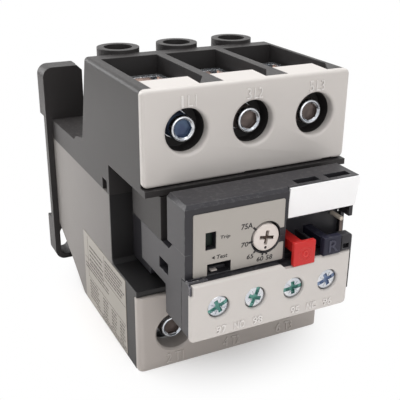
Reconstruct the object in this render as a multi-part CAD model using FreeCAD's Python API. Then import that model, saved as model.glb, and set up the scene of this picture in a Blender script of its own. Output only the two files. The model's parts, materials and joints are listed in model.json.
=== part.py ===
"""Thermal overload relay on its panel and rail adapter, as separate sub-parts.

Millimetres. +Z up, -Y is the operator's side, X runs along the row of poles.
The origin is the middle of the underside.
"""

import FreeCAD
import Part
import math
import os

V = FreeCAD.Vector

# Driving dimensions
WIDTH = 70.0                # adapter, relay and line cover
HALF = WIDTH / 2
PLATE_HALF = 37.3           # mounting plate
COVER_Y = -42.75            # front face of the line cover
PLATE_REAR = 107.0          # mounting plane, behind the line cover's face
TOP = 96.8                  # top of the adapter
SEAM = 55.0                 # adapter on relay
LIP_TOP = 67.9              # underside of the line cover

POLE_PITCH = 22.0
LINE_SHIFT = 1.0            # the line terminals sit right of the middle
LINE_Z = 83.6               # axis of the line screws
LOAD_Z = 13.0               # axis of the load screws
SCREW_HOLE_R = 6.75
SCREW_R = 4.0               # M8 box terminal screw
LINE_FACE = 4.2             # depth of the line screws' faces
LOAD_FACE = 11.8            # depth of the load screws' faces
CAGE_START = 4.8            # a terminal's depths behind its screw's face
BAR_START = 29.1
BAR_THICK = 2.8
HEX_FLATS = 5.0

MODULE_HALF = 29.9          # front module
MODULE_FRONT = -17.0
MODULE_TOP = 68.2
MODULE_SEAM = 53.4
BAY_X0 = 3.1                # recess of the two buttons
BAY_X1 = 28.6
BAY_BACK = -8.0
TAG_LEAN = 0.135            # depth per height of the marker tag

AUX_FRONT = -20.8
AUX_SEAM = -19.5            # back of the light cover
AUX_X = [-20.6, -8.4, 4.9, 17.2]
AUX_Z = 36.6
AUX_X0 = -29.9
AUX_X1 = 25.0
AUX_HOLE_R = 3.55
AUX_SCREW_R = 1.75          # M3.5

STOP_X = 7.6
RESET_X = 17.5
DIAL_X = -3.7
DIAL_Z = 54.1
DIAL_R = 4.5
PLATE_X0 = -27.4            # face plate
PLATE_X1 = 2.3
PLATE_Z0 = 45.8
PLATE_Z1 = 65.4

RAIL_MIDDLE = 41.0          # 35 mm rail in the back of the plate
RAIL_HALF = 17.5
SPRING_STRIP = 0.45         # thickness of the latch spring
FIT = 0.06                  # radial clearance of a screw or pin in its hole


def line_x(pole):
    return LINE_SHIFT + (pole - 1) * POLE_PITCH


def load_x(pole):
    return (pole - 1) * POLE_PITCH


def box(x0, x1, d0, d1, z0, z1):
    """A block between two depths behind the line cover's face."""
    return Part.makeBox(x1 - x0, d1 - d0, z1 - z0, V(x0, COVER_Y + d0, z0))


def rod(x, z, radius, d0, d1):
    """A cylinder along the depth."""
    return Part.makeCylinder(radius, d1 - d0, V(x, COVER_Y + d0, z), V(0, 1, 0))


def post(x, depth, radius, z0, z1):
    """A vertical cylinder."""
    return Part.makeCylinder(radius, z1 - z0, V(x, COVER_Y + depth, z0))


def cone(x, z, r0, r1, d0, d1):
    return Part.makeCone(r0, r1, d1 - d0, V(x, COVER_Y + d0, z), V(0, 1, 0))


def prism(points, direction):
    """A closed outline of straight edges, swept along one direction."""
    wire = Part.makePolygon(points + [points[0]])
    return Part.Face(wire).extrude(direction)


def side_form(outline, x0, x1):
    """An outline of (depth, height) points, as wide as x0 to x1."""
    points = [V(x0, COVER_Y + depth, z) for depth, z in outline]
    return prism(points, V(x1 - x0, 0, 0))


def front_form(outline, d0, d1):
    """An outline of (x, height) points, as deep as d0 to d1."""
    points = [V(x, COVER_Y + d0, z) for x, z in outline]
    return prism(points, V(0, d1 - d0, 0))


def plan_form(outline, z0, z1):
    """An outline of (x, depth) points, as high as z0 to z1."""
    points = [V(x, COVER_Y + depth, z0) for x, depth in outline]
    return prism(points, V(0, 0, z1 - z0))


def hexagon(x, z, flats, d0, d1):
    radius = flats / math.sqrt(3)
    corners = [math.radians(60 * k) for k in range(6)]
    outline = [(x + radius * math.sin(a), z + radius * math.cos(a)) for a in corners]
    return front_form(outline, d0, d1)


def fuse(first, *others):
    return first.fuse(list(others)).removeSplitter()


def edges_at(shape, test):
    """Edges whose bounding box passes the test, which gets depths and not y."""
    found = []
    for edge in shape.Edges:
        b = edge.BoundBox
        if test(b.XMin, b.XMax, b.YMin - COVER_Y, b.YMax - COVER_Y, b.ZMin, b.ZMax):
            found.append(edge)
    return found


def near(a, b):
    return abs(a - b) < 0.01


def lean(z, behind):
    """Depth of the leaning tag's front at a height, or of a plane behind it."""
    return -17.2 + (68.0 - z) * TAG_LEAN + behind


# Adapter

def bar_slot(x, face, z0, z1):
    """The slot that a terminal's copper bar fits."""
    return box(x - 5.05, x + 5.05, face + BAR_START - 0.05, face + BAR_START + BAR_THICK + 0.05, z0, z1)


def adapter_housing():
    """Black moulding with three wire bays, open above, and access collars behind."""
    outline = [
        (2.2, TOP), (51.0, TOP), (58.6, 66.6), (65.0, 65.3), (68.0, 63.3), (98.0, 62.6),
        (98.0, SEAM), (30.4, SEAM), (30.4, 65.7), (-1.1, 65.7), (-1.1, 67.6), (2.2, 67.6),
    ]
    body = side_form(outline, -HALF, HALF)
    rear = edges_at(body, lambda x0, x1, d0, d1, z0, z1: near(d0, 51.0) and near(z0, TOP) and x1 > x0)
    body = body.makeFillet(1.2, rear)
    upright = edges_at(body, lambda x0, x1, d0, d1, z0, z1: d0 > 50 and d1 < 59 and z1 - z0 > 20)
    body = body.makeFillet(1.5, upright)
    bays = []
    for pole in range(3):
        left = -31.2 if pole == 0 else line_x(pole) - 9.5
        bays.append(box(left, line_x(pole) + 9.5, 1.0, 44.5, LINE_Z - 8, TOP + 1))
        bays.append(bar_slot(line_x(pole), LINE_FACE, SEAM - 1, LINE_Z - 7))
    body = body.cut(bays)
    keys = []
    for pole in range(3):
        left = line_x(pole) + 9.5
        right = HALF - 2.5 if pole == 2 else left + 3.0
        keys.append(plan_form([(left - 4.6, 2.2), (right, 2.2), (right, 9.9), (left, 9.9)], 92.0, TOP))
    collars = [post(line_x(pole), 56.0, 7.3, 63.5, TOP + 1.3) for pole in range(3)]
    body = fuse(body, *keys, *collars)
    shafts = [post(line_x(pole), 56.0, 4.9, 67.0, TOP + 2) for pole in range(3)]
    notches = [box(side * HALF - 1.2, side * HALF + 1.2, 32.5, 37.0, SEAM - 1, 59.2) for side in (-1, 1)]
    return body.cut(shafts + notches)


def line_cover():
    """Light cover over the line terminals, with a tongue into the top of each bay."""
    plate = box(-HALF, HALF, 0, 2.2, LIP_TOP, TOP)
    rim = edges_at(plate, lambda x0, x1, d0, d1, z0, z1: near(d1, 0))
    plate = plate.makeFillet(1.3, rim)
    tongues = []
    wells = []
    holes = []
    for pole in range(3):
        x = line_x(pole)
        left = -31.0 if pole == 0 else x - 9.3
        tongues.append(plan_form([(left, 2.2), (x + 4.8, 2.2), (x + 5.4, 11.5), (left, 11.5)], TOP - 2.5, TOP))
        wells.append(rod(x, LINE_Z, SCREW_HOLE_R + 1.2, 2.2, 8.0))
        holes.append(rod(x, LINE_Z, SCREW_HOLE_R, -1, 9))
        holes.append(cone(x, LINE_Z, SCREW_HOLE_R + 0.8, SCREW_HOLE_R, 0, 0.8))
    return fuse(plate, *tongues, *wells).cut(holes)


def terminal_cage(x, z, face):
    """Bent steel box of a terminal: a threaded front wall and a clear way for the wire."""
    front = face + CAGE_START
    inside = face + BAR_START + BAR_THICK
    outer = box(x - 8.2, x + 8.2, front, inside + 3, z - 8, z + 8)
    outer = outer.makeFillet(1.5, edges_at(outer, lambda x0, x1, d0, d1, z0, z1: z1 - z0 > 15))
    inner = box(x - 6.4, x + 6.4, front + 3, inside, z - 9, z + 9)
    inner = inner.makeFillet(0.8, edges_at(inner, lambda x0, x1, d0, d1, z0, z1: z1 - z0 > 15))
    return outer.cut([inner, rod(x, z, SCREW_R + FIT, front - 1, front + 4)])


def terminal_screw(x, z, face):
    """Headless hexagon socket screw with a spigot that carries its clamp plate."""
    tip = face + 17.8
    screw = rod(x, z, SCREW_R, face + 0.5, tip)
    screw = fuse(screw, cone(x, z, SCREW_R - 0.5, SCREW_R, face, face + 0.5))
    screw = fuse(screw, rod(x, z, 2.0, tip, tip + 1.6))
    return screw.cut(hexagon(x, z, HEX_FLATS, face - 1, face + 4.5))


def clamp_plate(x, z, face):
    """Pressure plate on the screw's spigot, with two ribs in its wire face."""
    start = face + 18.0
    plate = box(x - 6.0, x + 6.0, start, start + 2.2, z - 6.5, z + 6.5)
    plate = plate.makeFillet(1.0, edges_at(plate, lambda x0, x1, d0, d1, z0, z1: near(d1 - d0, 2.2)))
    ribs = [box(x - 6.0, x + 6.0, start + 2.2, start + 2.8, z + k - 0.5, z + k + 0.5) for k in (-4, 4)]
    plate = fuse(plate, *ribs)
    return plate.cut(rod(x, z, 2.0 + FIT, start - 1, start + 1.7))


def busbar(x, face, z0, z1):
    """Copper bar against the back wall of a terminal cage."""
    start = face + BAR_START
    bar = box(x - 5.0, x + 5.0, start, start + BAR_THICK, z0, z1)
    ends = edges_at(bar, lambda x0, x1, d0, d1, a, b: near(d1 - d0, BAR_THICK))
    return bar.makeFillet(1.2, ends)


def mounting_plate():
    """Back plate: two upper ears, fixed rail hooks, screw slots and the latch guide."""
    outline = [
        (-PLATE_HALF, 0), (PLATE_HALF, 0), (PLATE_HALF, 83.6), (23.4, 83.6), (21.4, 81.6), (21.4, 70.0),
        (-21.4, 70.0), (-21.4, 81.6), (-23.4, 83.6), (-PLATE_HALF, 83.6),
    ]
    plate = front_form(outline, 98.0, 101.5)
    corner = edges_at(plate, lambda x0, x1, d0, d1, z0, z1: near(d1 - d0, 3.5) and abs(x0) > 37 and near(z0, z1))
    plate = plate.makeFillet(4.0, corner)
    pads = []
    for side in (-1, 1):
        inner = side * 23.0
        outer = side * PLATE_HALF
        x0 = min(inner, outer)
        x1 = max(inner, outer)
        upper = box(x0, x1, 101.5, PLATE_REAR, 63.5, 83.6)
        lower = box(x0, x1, 101.5, PLATE_REAR, 0, 18.5)
        for pad, level in ((upper, 83.6), (lower, 0)):
            tips = edges_at(pad, lambda a0, a1, d0, d1, z0, z1: near(a0, outer) and near(a1, outer) and near(z0, level) and near(z1, level))
            pads.append(pad.makeFillet(4.0, tips))
    rail_top = RAIL_MIDDLE + RAIL_HALF
    for x in (-14.0, 14.0):
        hook = [(101.5, 63.5), (106.0, 63.5), (106.0, rail_top - 1.6), (104.0, rail_top - 1.6),
                (104.0, rail_top + 0.6), (101.5, rail_top + 0.6)]
        pads.append(side_form(hook, x - 4, x + 4))
    guides = []
    for side in (-1, 1):
        guide = [(side * 9.0, 103.4), (side * 10.7, 103.4), (side * 10.7, 101.5), (side * 13.5, 101.5),
                 (side * 13.5, PLATE_REAR - 1.0), (side * 9.0, PLATE_REAR - 1.0)]
        guides.append(plan_form(guide, 5.0, 24.0))
    stop = box(-1.4, 1.4, 101.5, 105.0, 8.6, 9.8)
    body = fuse(plate, *pads, *guides, stop)
    cuts = []
    for side in (-1, 1):
        x = side * 32.4
        cuts.append(box(x - 2.6, x + 2.6, 97.0, 108.0, 4.6, 12.4))
        cuts.append(rod(x, 4.6, 2.6, 97.0, 108.0))
        cuts.append(rod(x, 12.4, 2.6, 97.0, 108.0))
    return body.cut(cuts)


def rail_latch():
    """Sliding foot that snaps under the rail, with a window for its spring and a pull slot."""
    top = RAIL_MIDDLE - RAIL_HALF + 1.8
    runner = box(-10.5, 10.5, 101.7, 103.2, 5.0, 20.5)
    outline = [
        (101.7, 5.0), (105.2, 5.0), (105.2, 19.6), (106.4, 20.6), (106.4, top - 1.2), (104.6, top), (103.6, top),
        (103.6, top - 2.6), (101.7, top - 2.6),
    ]
    body = fuse(runner, side_form(outline, -8.6, 8.6))
    window = box(-2.4, 2.4, 101.0, 107.0, 8.4, 18.0)
    pull = box(-3.0, 3.0, 101.0, 107.0, 5.9, 7.3)
    return body.cut([window, pull])


def latch_spring():
    """Strip spring bent to and fro, from the plate's stop up to the top of the latch's window."""
    rise = 1.5
    half = SPRING_STRIP / 2
    pieces = []
    for turn in range(6):
        z = 10.1 + turn * rise
        pieces.append(box(-1.2, 1.2, 102.6, 104.2, z - half, z + half))
    for turn in range(5):
        side = 1 if turn % 2 == 0 else -1
        x = side * 1.2
        z = 10.1 + (turn + 0.5) * rise
        bend = rod(x, z, rise / 2 + half, 102.6, 104.2)
        bend = bend.cut([rod(x, z, rise / 2 - half, 102, 105), box(-1.2, 1.2, 102, 105, z - 2, z + 2)])
        pieces.append(bend)
    return fuse(*pieces)


# Relay

def relay_housing():
    """Main housing below the adapter, with three load wire bays open to the underside."""
    outline = [
        (30.4, SEAM), (97.6, SEAM), (97.6, 17.6), (79.5, 8.4), (66.0, 0), (10.0, 0),
        (10.0, 28.0), (8.2, 28.0), (8.2, 29.9), (29.0, 29.9), (30.4, 31.3),
    ]
    body = side_form(outline, -HALF, HALF)
    cuts = []
    for pole in range(3):
        x = load_x(pole)
        cuts.append(box(x - 8.6, x + 8.6, 9.0, 47.0, -1, LOAD_Z + 8))
        cuts.append(bar_slot(x, LOAD_FACE, LOAD_Z + 7, 26.0))
        cuts.append(bar_slot(line_x(pole), LINE_FACE, 44.0, SEAM + 1))
    return body.cut(cuts)


def rating_label():
    """Thin plate on the left wall."""
    return box(-HALF - 0.15, -HALF, 18.0, 62.5, 0.6, 29.2)


def load_cover():
    """Light cover over the load terminals."""
    plate = box(-HALF, HALF, 6.9, 10.0, 0, 27.8)
    plate = plate.makeFillet(2.0, edges_at(plate, lambda x0, x1, d0, d1, z0, z1: near(d1, 6.9) and z1 - z0 > 20))
    plate = plate.makeFillet(0.6, edges_at(plate, lambda x0, x1, d0, d1, z0, z1: near(d0, 6.9) and near(z0, z1)))
    wells = [rod(load_x(pole), LOAD_Z, SCREW_HOLE_R + 1.2, 10.0, 14.0) for pole in range(3)]
    body = fuse(plate, *wells)
    holes = []
    for pole in range(3):
        holes.append(rod(load_x(pole), LOAD_Z, SCREW_HOLE_R, 5, 15))
        holes.append(cone(load_x(pole), LOAD_Z, SCREW_HOLE_R + 0.6, SCREW_HOLE_R, 6.9, 7.5))
    return body.cut(holes)


# Front module

def module_base():
    """Lower half of the front module: side cheeks, feet, neck and the floor of the buttons."""
    cheek = [
        (-14.8, 28.2), (-3.5, 28.2), (-3.5, 38.0), (15.4, 38.0), (15.4, 51.0), (-6.1, 51.0),
        (-8.6, MODULE_SEAM), (-17.0, MODULE_SEAM), (-17.0, 45.6), (-14.8, 45.6),
    ]
    left = side_form(cheek, -MODULE_HALF, -25.5)
    right = side_form(cheek, BAY_X1, MODULE_HALF)
    front = box(-25.5, BAY_X0, -14.8, BAY_BACK, 40.8, MODULE_SEAM)
    sill = box(-25.5, BAY_X0, MODULE_FRONT, -14.8, 45.3, MODULE_SEAM)
    deck = box(-25.5, BAY_X1, BAY_BACK, 15.4, 40.8, 51.0)
    floor = box(BAY_X0, BAY_X1, -14.8, BAY_BACK, 40.8, 45.6)
    neck = box(-27.0, 27.0, 15.4, 30.4, 31.4, 51.0)
    guide = box(21.4, 25.1, -20.6, -13.8, 45.5, 50.9)
    guide = guide.makeFillet(0.9, edges_at(guide, lambda x0, x1, d0, d1, z0, z1: near(d1, -20.6)))
    fence = box(12.6, 13.5, -18.0, BAY_BACK, 45.5, 49.6)
    body = fuse(left, right, front, sill, deck, floor, neck, guide, fence)
    cuts = []
    for side in (-1, 1):
        cuts.append(box(side * MODULE_HALF - 2.4, side * MODULE_HALF + 2.4, -5.5, 1.1, 41.6, 45.4))
    cuts.append(box(-23.0, -15.3, -18.0, -11.6, 45.8, 49.4))
    cuts.extend(dial_seat())
    for x in (STOP_X, RESET_X):
        cuts.append(box(x - 3.0, x + 3.0, -9.0, 0.0, 46.1, 50.8))
    return body.cut(cuts)


def dial_seat():
    """The dial's pocket and the bearing of its shaft, shared by both module halves."""
    pocket = rod(DIAL_X, DIAL_Z, DIAL_R + 0.5, MODULE_FRONT - 1, -13.6)
    return [pocket, rod(DIAL_X, DIAL_Z, 2.0 + FIT, -14.0, -9.6)]


def module_rear():
    """Upper rear half of the front module, tucked under the adapter."""
    block = box(-MODULE_HALF, MODULE_HALF, -0.4, 22.5, 51.1, 65.0)
    core = box(-27.0, 27.0, -5.0, -0.4, 51.1, 65.0)
    neck = box(-27.0, 27.0, 22.5, 30.4, 51.1, 65.0)
    return fuse(block, core, neck)


def module_cover():
    """Upper front cover: roof with two snap slots, window wall and the roof of the recess."""
    shell = box(-MODULE_HALF, MODULE_HALF, MODULE_FRONT, -5.1, MODULE_SEAM, MODULE_TOP)
    rim = edges_at(shell, lambda x0, x1, d0, d1, z0, z1: near(z0, MODULE_TOP) and (near(d1, MODULE_FRONT) or near(x1, -MODULE_HALF) or near(x0, MODULE_HALF)))
    shell = shell.makeChamfer(1.0, rim)
    cuts = [
        box(BAY_X0, MODULE_HALF + 1, -18.0, BAY_BACK, MODULE_SEAM - 1, 58.6),
        side_form([(-18.0, 58.0), (lean(58.0, 1.9), 58.0), (lean(68.4, 1.9), 68.4), (-18.0, 68.4)], 3.7, 31.0),
        box(-23.6, -20.2, -18.0, -11.0, MODULE_SEAM + 0.5, 59.4),
    ]
    cuts.extend(dial_seat())
    for x in (11.8, 22.9):
        cuts.append(box(x - 4.1, x + 4.1, -14.9, -11.8, 63.0, MODULE_TOP + 1))
    body = shell.cut(cuts)
    wall = box(BAY_X1, MODULE_HALF, -13.8, BAY_BACK, MODULE_SEAM, 58.8)
    return fuse(body, wall)


def face_plate():
    """Printed plate round the dial, window and test slot, open towards the recess."""
    plate = box(PLATE_X0, PLATE_X1, MODULE_FRONT - 0.3, MODULE_FRONT, PLATE_Z0, PLATE_Z1)
    plate = plate.makeFillet(0.5, edges_at(plate, lambda x0, x1, d0, d1, z0, z1: near(d1 - d0, 0.3)))
    cuts = [
        rod(DIAL_X, DIAL_Z, 5.2, MODULE_FRONT - 1, MODULE_FRONT + 1),
        box(DIAL_X + 3.0, PLATE_X1 + 1, MODULE_FRONT - 1, MODULE_FRONT + 1, 51.5, 56.3),
        box(-23.6, -20.2, MODULE_FRONT - 1, MODULE_FRONT + 1, 53.9, 59.4),
        box(-23.0, -15.3, MODULE_FRONT - 1, MODULE_FRONT + 1, PLATE_Z0 - 1, 49.4),
    ]
    return plate.cut(cuts)


def current_dial():
    """Setting dial with a crossed driver slot and an index dimple."""
    dial = rod(DIAL_X, DIAL_Z, DIAL_R, -17.5, -14.0)
    dial = dial.makeChamfer(0.35, edges_at(dial, lambda x0, x1, d0, d1, z0, z1: near(d0, -17.5) and near(d1, -17.5)))
    shaft = rod(DIAL_X, DIAL_Z, 2.0, -14.0, -10.0)
    slots = [
        box(DIAL_X - 2.6, DIAL_X + 2.6, -18.0, -15.8, DIAL_Z - 0.55, DIAL_Z + 0.55),
        box(DIAL_X - 0.55, DIAL_X + 0.55, -18.0, -15.8, DIAL_Z - 2.6, DIAL_Z + 2.6),
        rod(DIAL_X, DIAL_Z - 3.4, 0.4, -18.0, -17.2),
    ]
    return fuse(dial, shaft).cut(slots)


def test_slide():
    """Test slide, moved left with a fingernail."""
    foot = box(-21.1, -15.9, -16.4, -12.0, 45.9, 46.9)
    tip = box(-21.1, -18.3, -16.8, -14.6, 46.9, 47.6)
    return fuse(foot, tip)


def trip_flag():
    """Flag that shows in the window."""
    flag = box(-23.4, -20.4, -15.4, -11.6, 54.1, 59.2)
    return flag.makeFillet(0.3, edges_at(flag, lambda x0, x1, d0, d1, z0, z1: near(d1, -15.4)))


def tag_holder():
    """Leaning frame that carries the marker tag."""
    outline = [(lean(z, t), z) for z, t in ((68.2, 0.8), (68.2, 1.9), (57.8, 1.9), (57.8, 0.8))]
    return side_form(outline, 3.9, 28.9)


def marker_tag():
    """Blank write-on tag."""
    outline = [(lean(z, t), z) for z, t in ((68.0, 0), (68.0, 0.8), (58.0, 0.8), (58.0, 0))]
    return side_form(outline, 4.0, 28.8)


def stop_button():
    """Red push button: a thin square head with a raised ring on a square stem."""
    x = STOP_X
    head = box(x - 4.1, x + 4.1, -21.3, -19.9, 44.7, 52.7)
    head = head.makeFillet(0.4, edges_at(head, lambda x0, x1, d0, d1, z0, z1: near(d1 - d0, 1.4)))
    ring = rod(x + 0.3, 48.4, 2.5, -21.5, -21.3).cut(rod(x + 0.3, 48.4, 2.0, -21.6, -21.2))
    stem = box(x - 2.8, x + 2.8, -19.9, -5.0, 46.3, 50.6)
    return fuse(head, ring, stem)


def reset_button():
    """Dark square reset button on a stem."""
    x = RESET_X
    head = box(x - 3.7, x + 3.7, -21.3, -14.5, 45.8, 52.2)
    head = head.makeFillet(0.5, edges_at(head, lambda x0, x1, d0, d1, z0, z1: near(d1, -21.3)))
    stem = box(x - 2.8, x + 2.8, -14.5, -5.0, 46.3, 50.6)
    return fuse(head, stem)


def contact_pin():
    """Insulated plunger at the right end of the recess."""
    pin = rod(26.3, 53.9, 0.95, -13.4, BAY_BACK)
    return pin.makeChamfer(0.3, edges_at(pin, lambda x0, x1, d0, d1, z0, z1: near(d1, -13.4)))


def contact_leaf():
    """Brass contact spring below the plunger."""
    return box(25.4, 27.2, -11.8, -11.4, 45.6, 52.95)


# Auxiliary terminals

def aux_cover():
    """Light cover with the four small screw holes and a notch for the red button."""
    plate = box(AUX_X0, AUX_X1, AUX_FRONT, AUX_SEAM, 26.6, 45.4)
    corners = edges_at(plate, lambda x0, x1, d0, d1, z0, z1: near(d0, AUX_FRONT) and near(d1, AUX_SEAM) and near(z1, 26.6))
    plate = plate.makeFillet(1.6, corners)
    plate = plate.makeFillet(0.6, edges_at(plate, lambda x0, x1, d0, d1, z0, z1: near(d1, AUX_FRONT)))
    cuts = [stop_notch()]
    for x in AUX_X:
        cuts.append(rod(x, AUX_Z, AUX_HOLE_R, AUX_FRONT - 1, AUX_SEAM + 1))
        cuts.append(cone(x, AUX_Z, AUX_HOLE_R + 0.4, AUX_HOLE_R, AUX_FRONT, AUX_FRONT + 0.4))
    return plate.cut(cuts)


def stop_notch():
    """Room for the lower edge of the red button's head."""
    return box(STOP_X - 7.2, STOP_X + 4.6, AUX_FRONT - 1, -14.0, 44.2, 47.0)


def aux_base():
    """Dark carrier with four terminal chambers, open to the underside."""
    front = box(AUX_X0, AUX_X1, AUX_SEAM, -15.0, 28.2, 45.2)
    block = box(-25.2, AUX_X1, -15.0, -4.0, 28.2, 40.8)
    cuts = [stop_notch()]
    for x in AUX_X:
        cuts.append(box(x - 3.7, x + 3.7, -17.3, -9.0, 27.0, AUX_Z + 3.7))
        cuts.append(rod(x, AUX_Z, AUX_HOLE_R, AUX_SEAM - 1, -17.0))
        cuts.append(rod(x, AUX_Z, AUX_SCREW_R + 0.6, -9.5, -4.6))
    return fuse(front, block).cut(cuts)


def aux_terminals():
    """Four brass terminal bars."""
    bars = []
    for x in AUX_X:
        bar = box(x - 3.7, x + 3.7, -10.5, -9.0, 30.5, 38.6)
        bars.append(bar.cut(rod(x, AUX_Z, AUX_SCREW_R + FIT, -11, -8)))
    return Part.makeCompound(bars)


def aux_screw(x):
    """Captive M3.5 screw with a crossed recess."""
    head = rod(x, AUX_Z, 3.2, -19.6, -17.2)
    head = head.makeChamfer(0.5, edges_at(head, lambda x0, x1, d0, d1, z0, z1: near(d1, -19.6)))
    shaft = rod(x, AUX_Z, AUX_SCREW_R, -17.2, -8.6)
    slots = [
        box(x - 2.0, x + 2.0, -20.0, -18.4, AUX_Z - 0.4, AUX_Z + 0.4),
        box(x - 0.4, x + 0.4, -20.0, -18.4, AUX_Z - 2.0, AUX_Z + 2.0),
    ]
    return fuse(head, shaft).cut(slots)


def aux_clamp(x):
    """Square clamp washer held under the screw's head."""
    washer = box(x - 3.4, x + 3.4, -17.2, -16.0, AUX_Z - 3.4, AUX_Z + 3.4)
    return washer.cut(rod(x, AUX_Z, AUX_SCREW_R + FIT, -18, -15))


def build():
    nodes = {
        "adapter_housing": adapter_housing(),
        "mounting_plate": mounting_plate(),
        "rail_latch": rail_latch(),
        "latch_spring": latch_spring(),
        "line_cover": line_cover(),
        "relay_housing": relay_housing(),
        "rating_label": rating_label(),
        "load_cover": load_cover(),
        "module_base": module_base(),
        "module_rear": module_rear(),
        "module_cover": module_cover(),
        "face_plate": face_plate(),
        "current_dial": current_dial(),
        "test_slide": test_slide(),
        "trip_flag": trip_flag(),
        "tag_holder": tag_holder(),
        "marker_tag": marker_tag(),
        "stop_button": stop_button(),
        "reset_button": reset_button(),
        "contact_pin": contact_pin(),
        "contact_leaf": contact_leaf(),
        "aux_cover": aux_cover(),
        "aux_base": aux_base(),
        "aux_terminals": aux_terminals(),
    }
    for pole in range(3):
        number = pole + 1
        for side, x, z, face in (("line", line_x(pole), LINE_Z, LINE_FACE), ("load", load_x(pole), LOAD_Z, LOAD_FACE)):
            nodes[f"{side}_cage_{number}"] = terminal_cage(x, z, face)
            nodes[f"{side}_screw_{number}"] = terminal_screw(x, z, face)
            nodes[f"{side}_clamp_{number}"] = clamp_plate(x, z, face)
        nodes[f"line_busbar_{number}"] = busbar(line_x(pole), LINE_FACE, 44.0, LINE_Z + 7)
        nodes[f"load_busbar_{number}"] = busbar(load_x(pole), LOAD_FACE, LOAD_Z - 7, 26.0)
    for number, x in enumerate(AUX_X, start=1):
        nodes[f"aux_screw_{number}"] = aux_screw(x)
        nodes[f"aux_clamp_{number}"] = aux_clamp(x)
    return nodes


os.makedirs("parts", exist_ok=True)
for name, shape in build().items():
    shape.exportStep(f"parts/{name}.step")
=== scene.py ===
# %% [markdown]
# # A thermal overload relay on its panel and rail adapter
# A thermal overload relay watches the current of a motor and opens a contact
# when it has been too high for too long. This one hangs below an adapter with
# three box terminals, so that it can stand by itself on a rail or a panel.
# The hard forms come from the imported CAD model, which is loaded as a fixed
# frame. This script gives each of them a finish, and adds the small things
# that a CAD model leaves out: raised marks, print, threads and recesses.

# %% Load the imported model
import json
import math
import random

import bmesh
import bpy
from mathutils import Matrix, Vector


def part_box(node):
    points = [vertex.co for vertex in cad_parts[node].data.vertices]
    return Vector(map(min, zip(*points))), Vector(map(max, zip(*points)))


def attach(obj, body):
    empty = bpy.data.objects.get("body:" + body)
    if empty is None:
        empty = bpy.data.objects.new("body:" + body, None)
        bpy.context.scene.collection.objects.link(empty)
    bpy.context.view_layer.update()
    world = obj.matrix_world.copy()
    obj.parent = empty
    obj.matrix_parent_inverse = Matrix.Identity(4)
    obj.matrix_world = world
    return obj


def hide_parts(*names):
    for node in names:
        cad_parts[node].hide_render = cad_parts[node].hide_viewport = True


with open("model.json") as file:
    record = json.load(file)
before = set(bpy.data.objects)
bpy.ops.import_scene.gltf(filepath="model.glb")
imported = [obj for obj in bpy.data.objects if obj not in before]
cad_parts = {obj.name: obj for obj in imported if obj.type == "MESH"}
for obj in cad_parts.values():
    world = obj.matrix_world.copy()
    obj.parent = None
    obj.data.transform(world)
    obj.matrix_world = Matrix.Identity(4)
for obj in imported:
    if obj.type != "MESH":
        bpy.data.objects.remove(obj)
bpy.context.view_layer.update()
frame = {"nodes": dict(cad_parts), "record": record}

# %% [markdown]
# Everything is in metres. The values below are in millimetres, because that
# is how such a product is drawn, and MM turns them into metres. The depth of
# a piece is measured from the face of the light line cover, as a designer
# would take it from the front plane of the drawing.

MM = 0.001
nodes = frame["nodes"]
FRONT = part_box("line_cover")[0].y
LOAD_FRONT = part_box("load_cover")[0].y
AUX_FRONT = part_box("aux_cover")[0].y
PLATE_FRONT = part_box("face_plate")[0].y
LABEL_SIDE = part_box("rating_label")[0].x

# %% [markdown]
# The camera stands to the left of the relay and above it, as a product
# picture usually has it, and looks along one line: turned from the front by
# the azimuth, down by the elevation, and tilted a little. A camera looks
# along its own -Z, so its three axes are worked out from those angles.

# %% Camera
CAMERA_PLACE = Vector((-105.8, -222.25, 145.9)) * MM
AZIMUTH = math.radians(-26.36)
ELEVATION = math.radians(22.80)
TILT = math.radians(0.50)
LENS = 65.1

back = Vector((
    math.sin(AZIMUTH) * math.cos(ELEVATION),
    -math.cos(AZIMUTH) * math.cos(ELEVATION),
    math.sin(ELEVATION),
))
right = (-back).cross(Vector((0, 0, 1))).normalized()
above = right.cross(-back)
tilted_right = right * math.cos(TILT) + above * math.sin(TILT)
tilted_above = above * math.cos(TILT) - right * math.sin(TILT)
turn = Matrix((tilted_right, tilted_above, back)).transposed()
bpy.ops.object.select_all(action="DESELECT")
bpy.ops.object.camera_add(location=CAMERA_PLACE, rotation=turn.to_euler())
camera = bpy.context.object
camera.name = "camera"
camera.data.lens = LENS
camera.data.sensor_width = 36.0
bpy.context.scene.camera = camera
print("camera at", [round(v / MM) for v in camera.location])

# %% [markdown]
# A material is a net of nodes, and each node has settings and inputs. One
# helper adds a node and fills it in: where an input is given another node's
# socket it is linked, and where it is given a value the value is written.


# %% Helpers for nodes
def add_node(tree, kind, inputs=(), **settings):
    """A shader node with its settings, and its inputs linked or written."""
    node = tree.nodes.new("ShaderNode" + kind)
    for name, value in settings.items():
        setattr(node, name, value)
    for label, value in dict(inputs).items():
        if isinstance(value, bpy.types.NodeSocket):
            tree.links.new(value, node.inputs[label])
        else:
            node.inputs[label].default_value = value
    return node


def math_node(tree, operation, *values):
    """The result of a Math node whose inputs are sockets or plain numbers."""
    return add_node(tree, "Math", enumerate(values), operation=operation).outputs[0]


def scaled(tree, value, low, high, start=0.0, end=1.0):
    """A mask that runs from start to end, spread over low to high."""
    return add_node(tree, "MapRange", {
        "Value": value, "From Min": start, "From Max": end, "To Min": low, "To Max": high,
    }).outputs["Result"]


# %% [markdown]
# A product picture is lit by large soft lamps from above and from the left,
# and by light that the white room throws back. Area lamps give the first,
# and a pale world gives the second. The world is pure white where the camera,
# a mirror or a glass looks at it, and dimmer where it lights the object.

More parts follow.
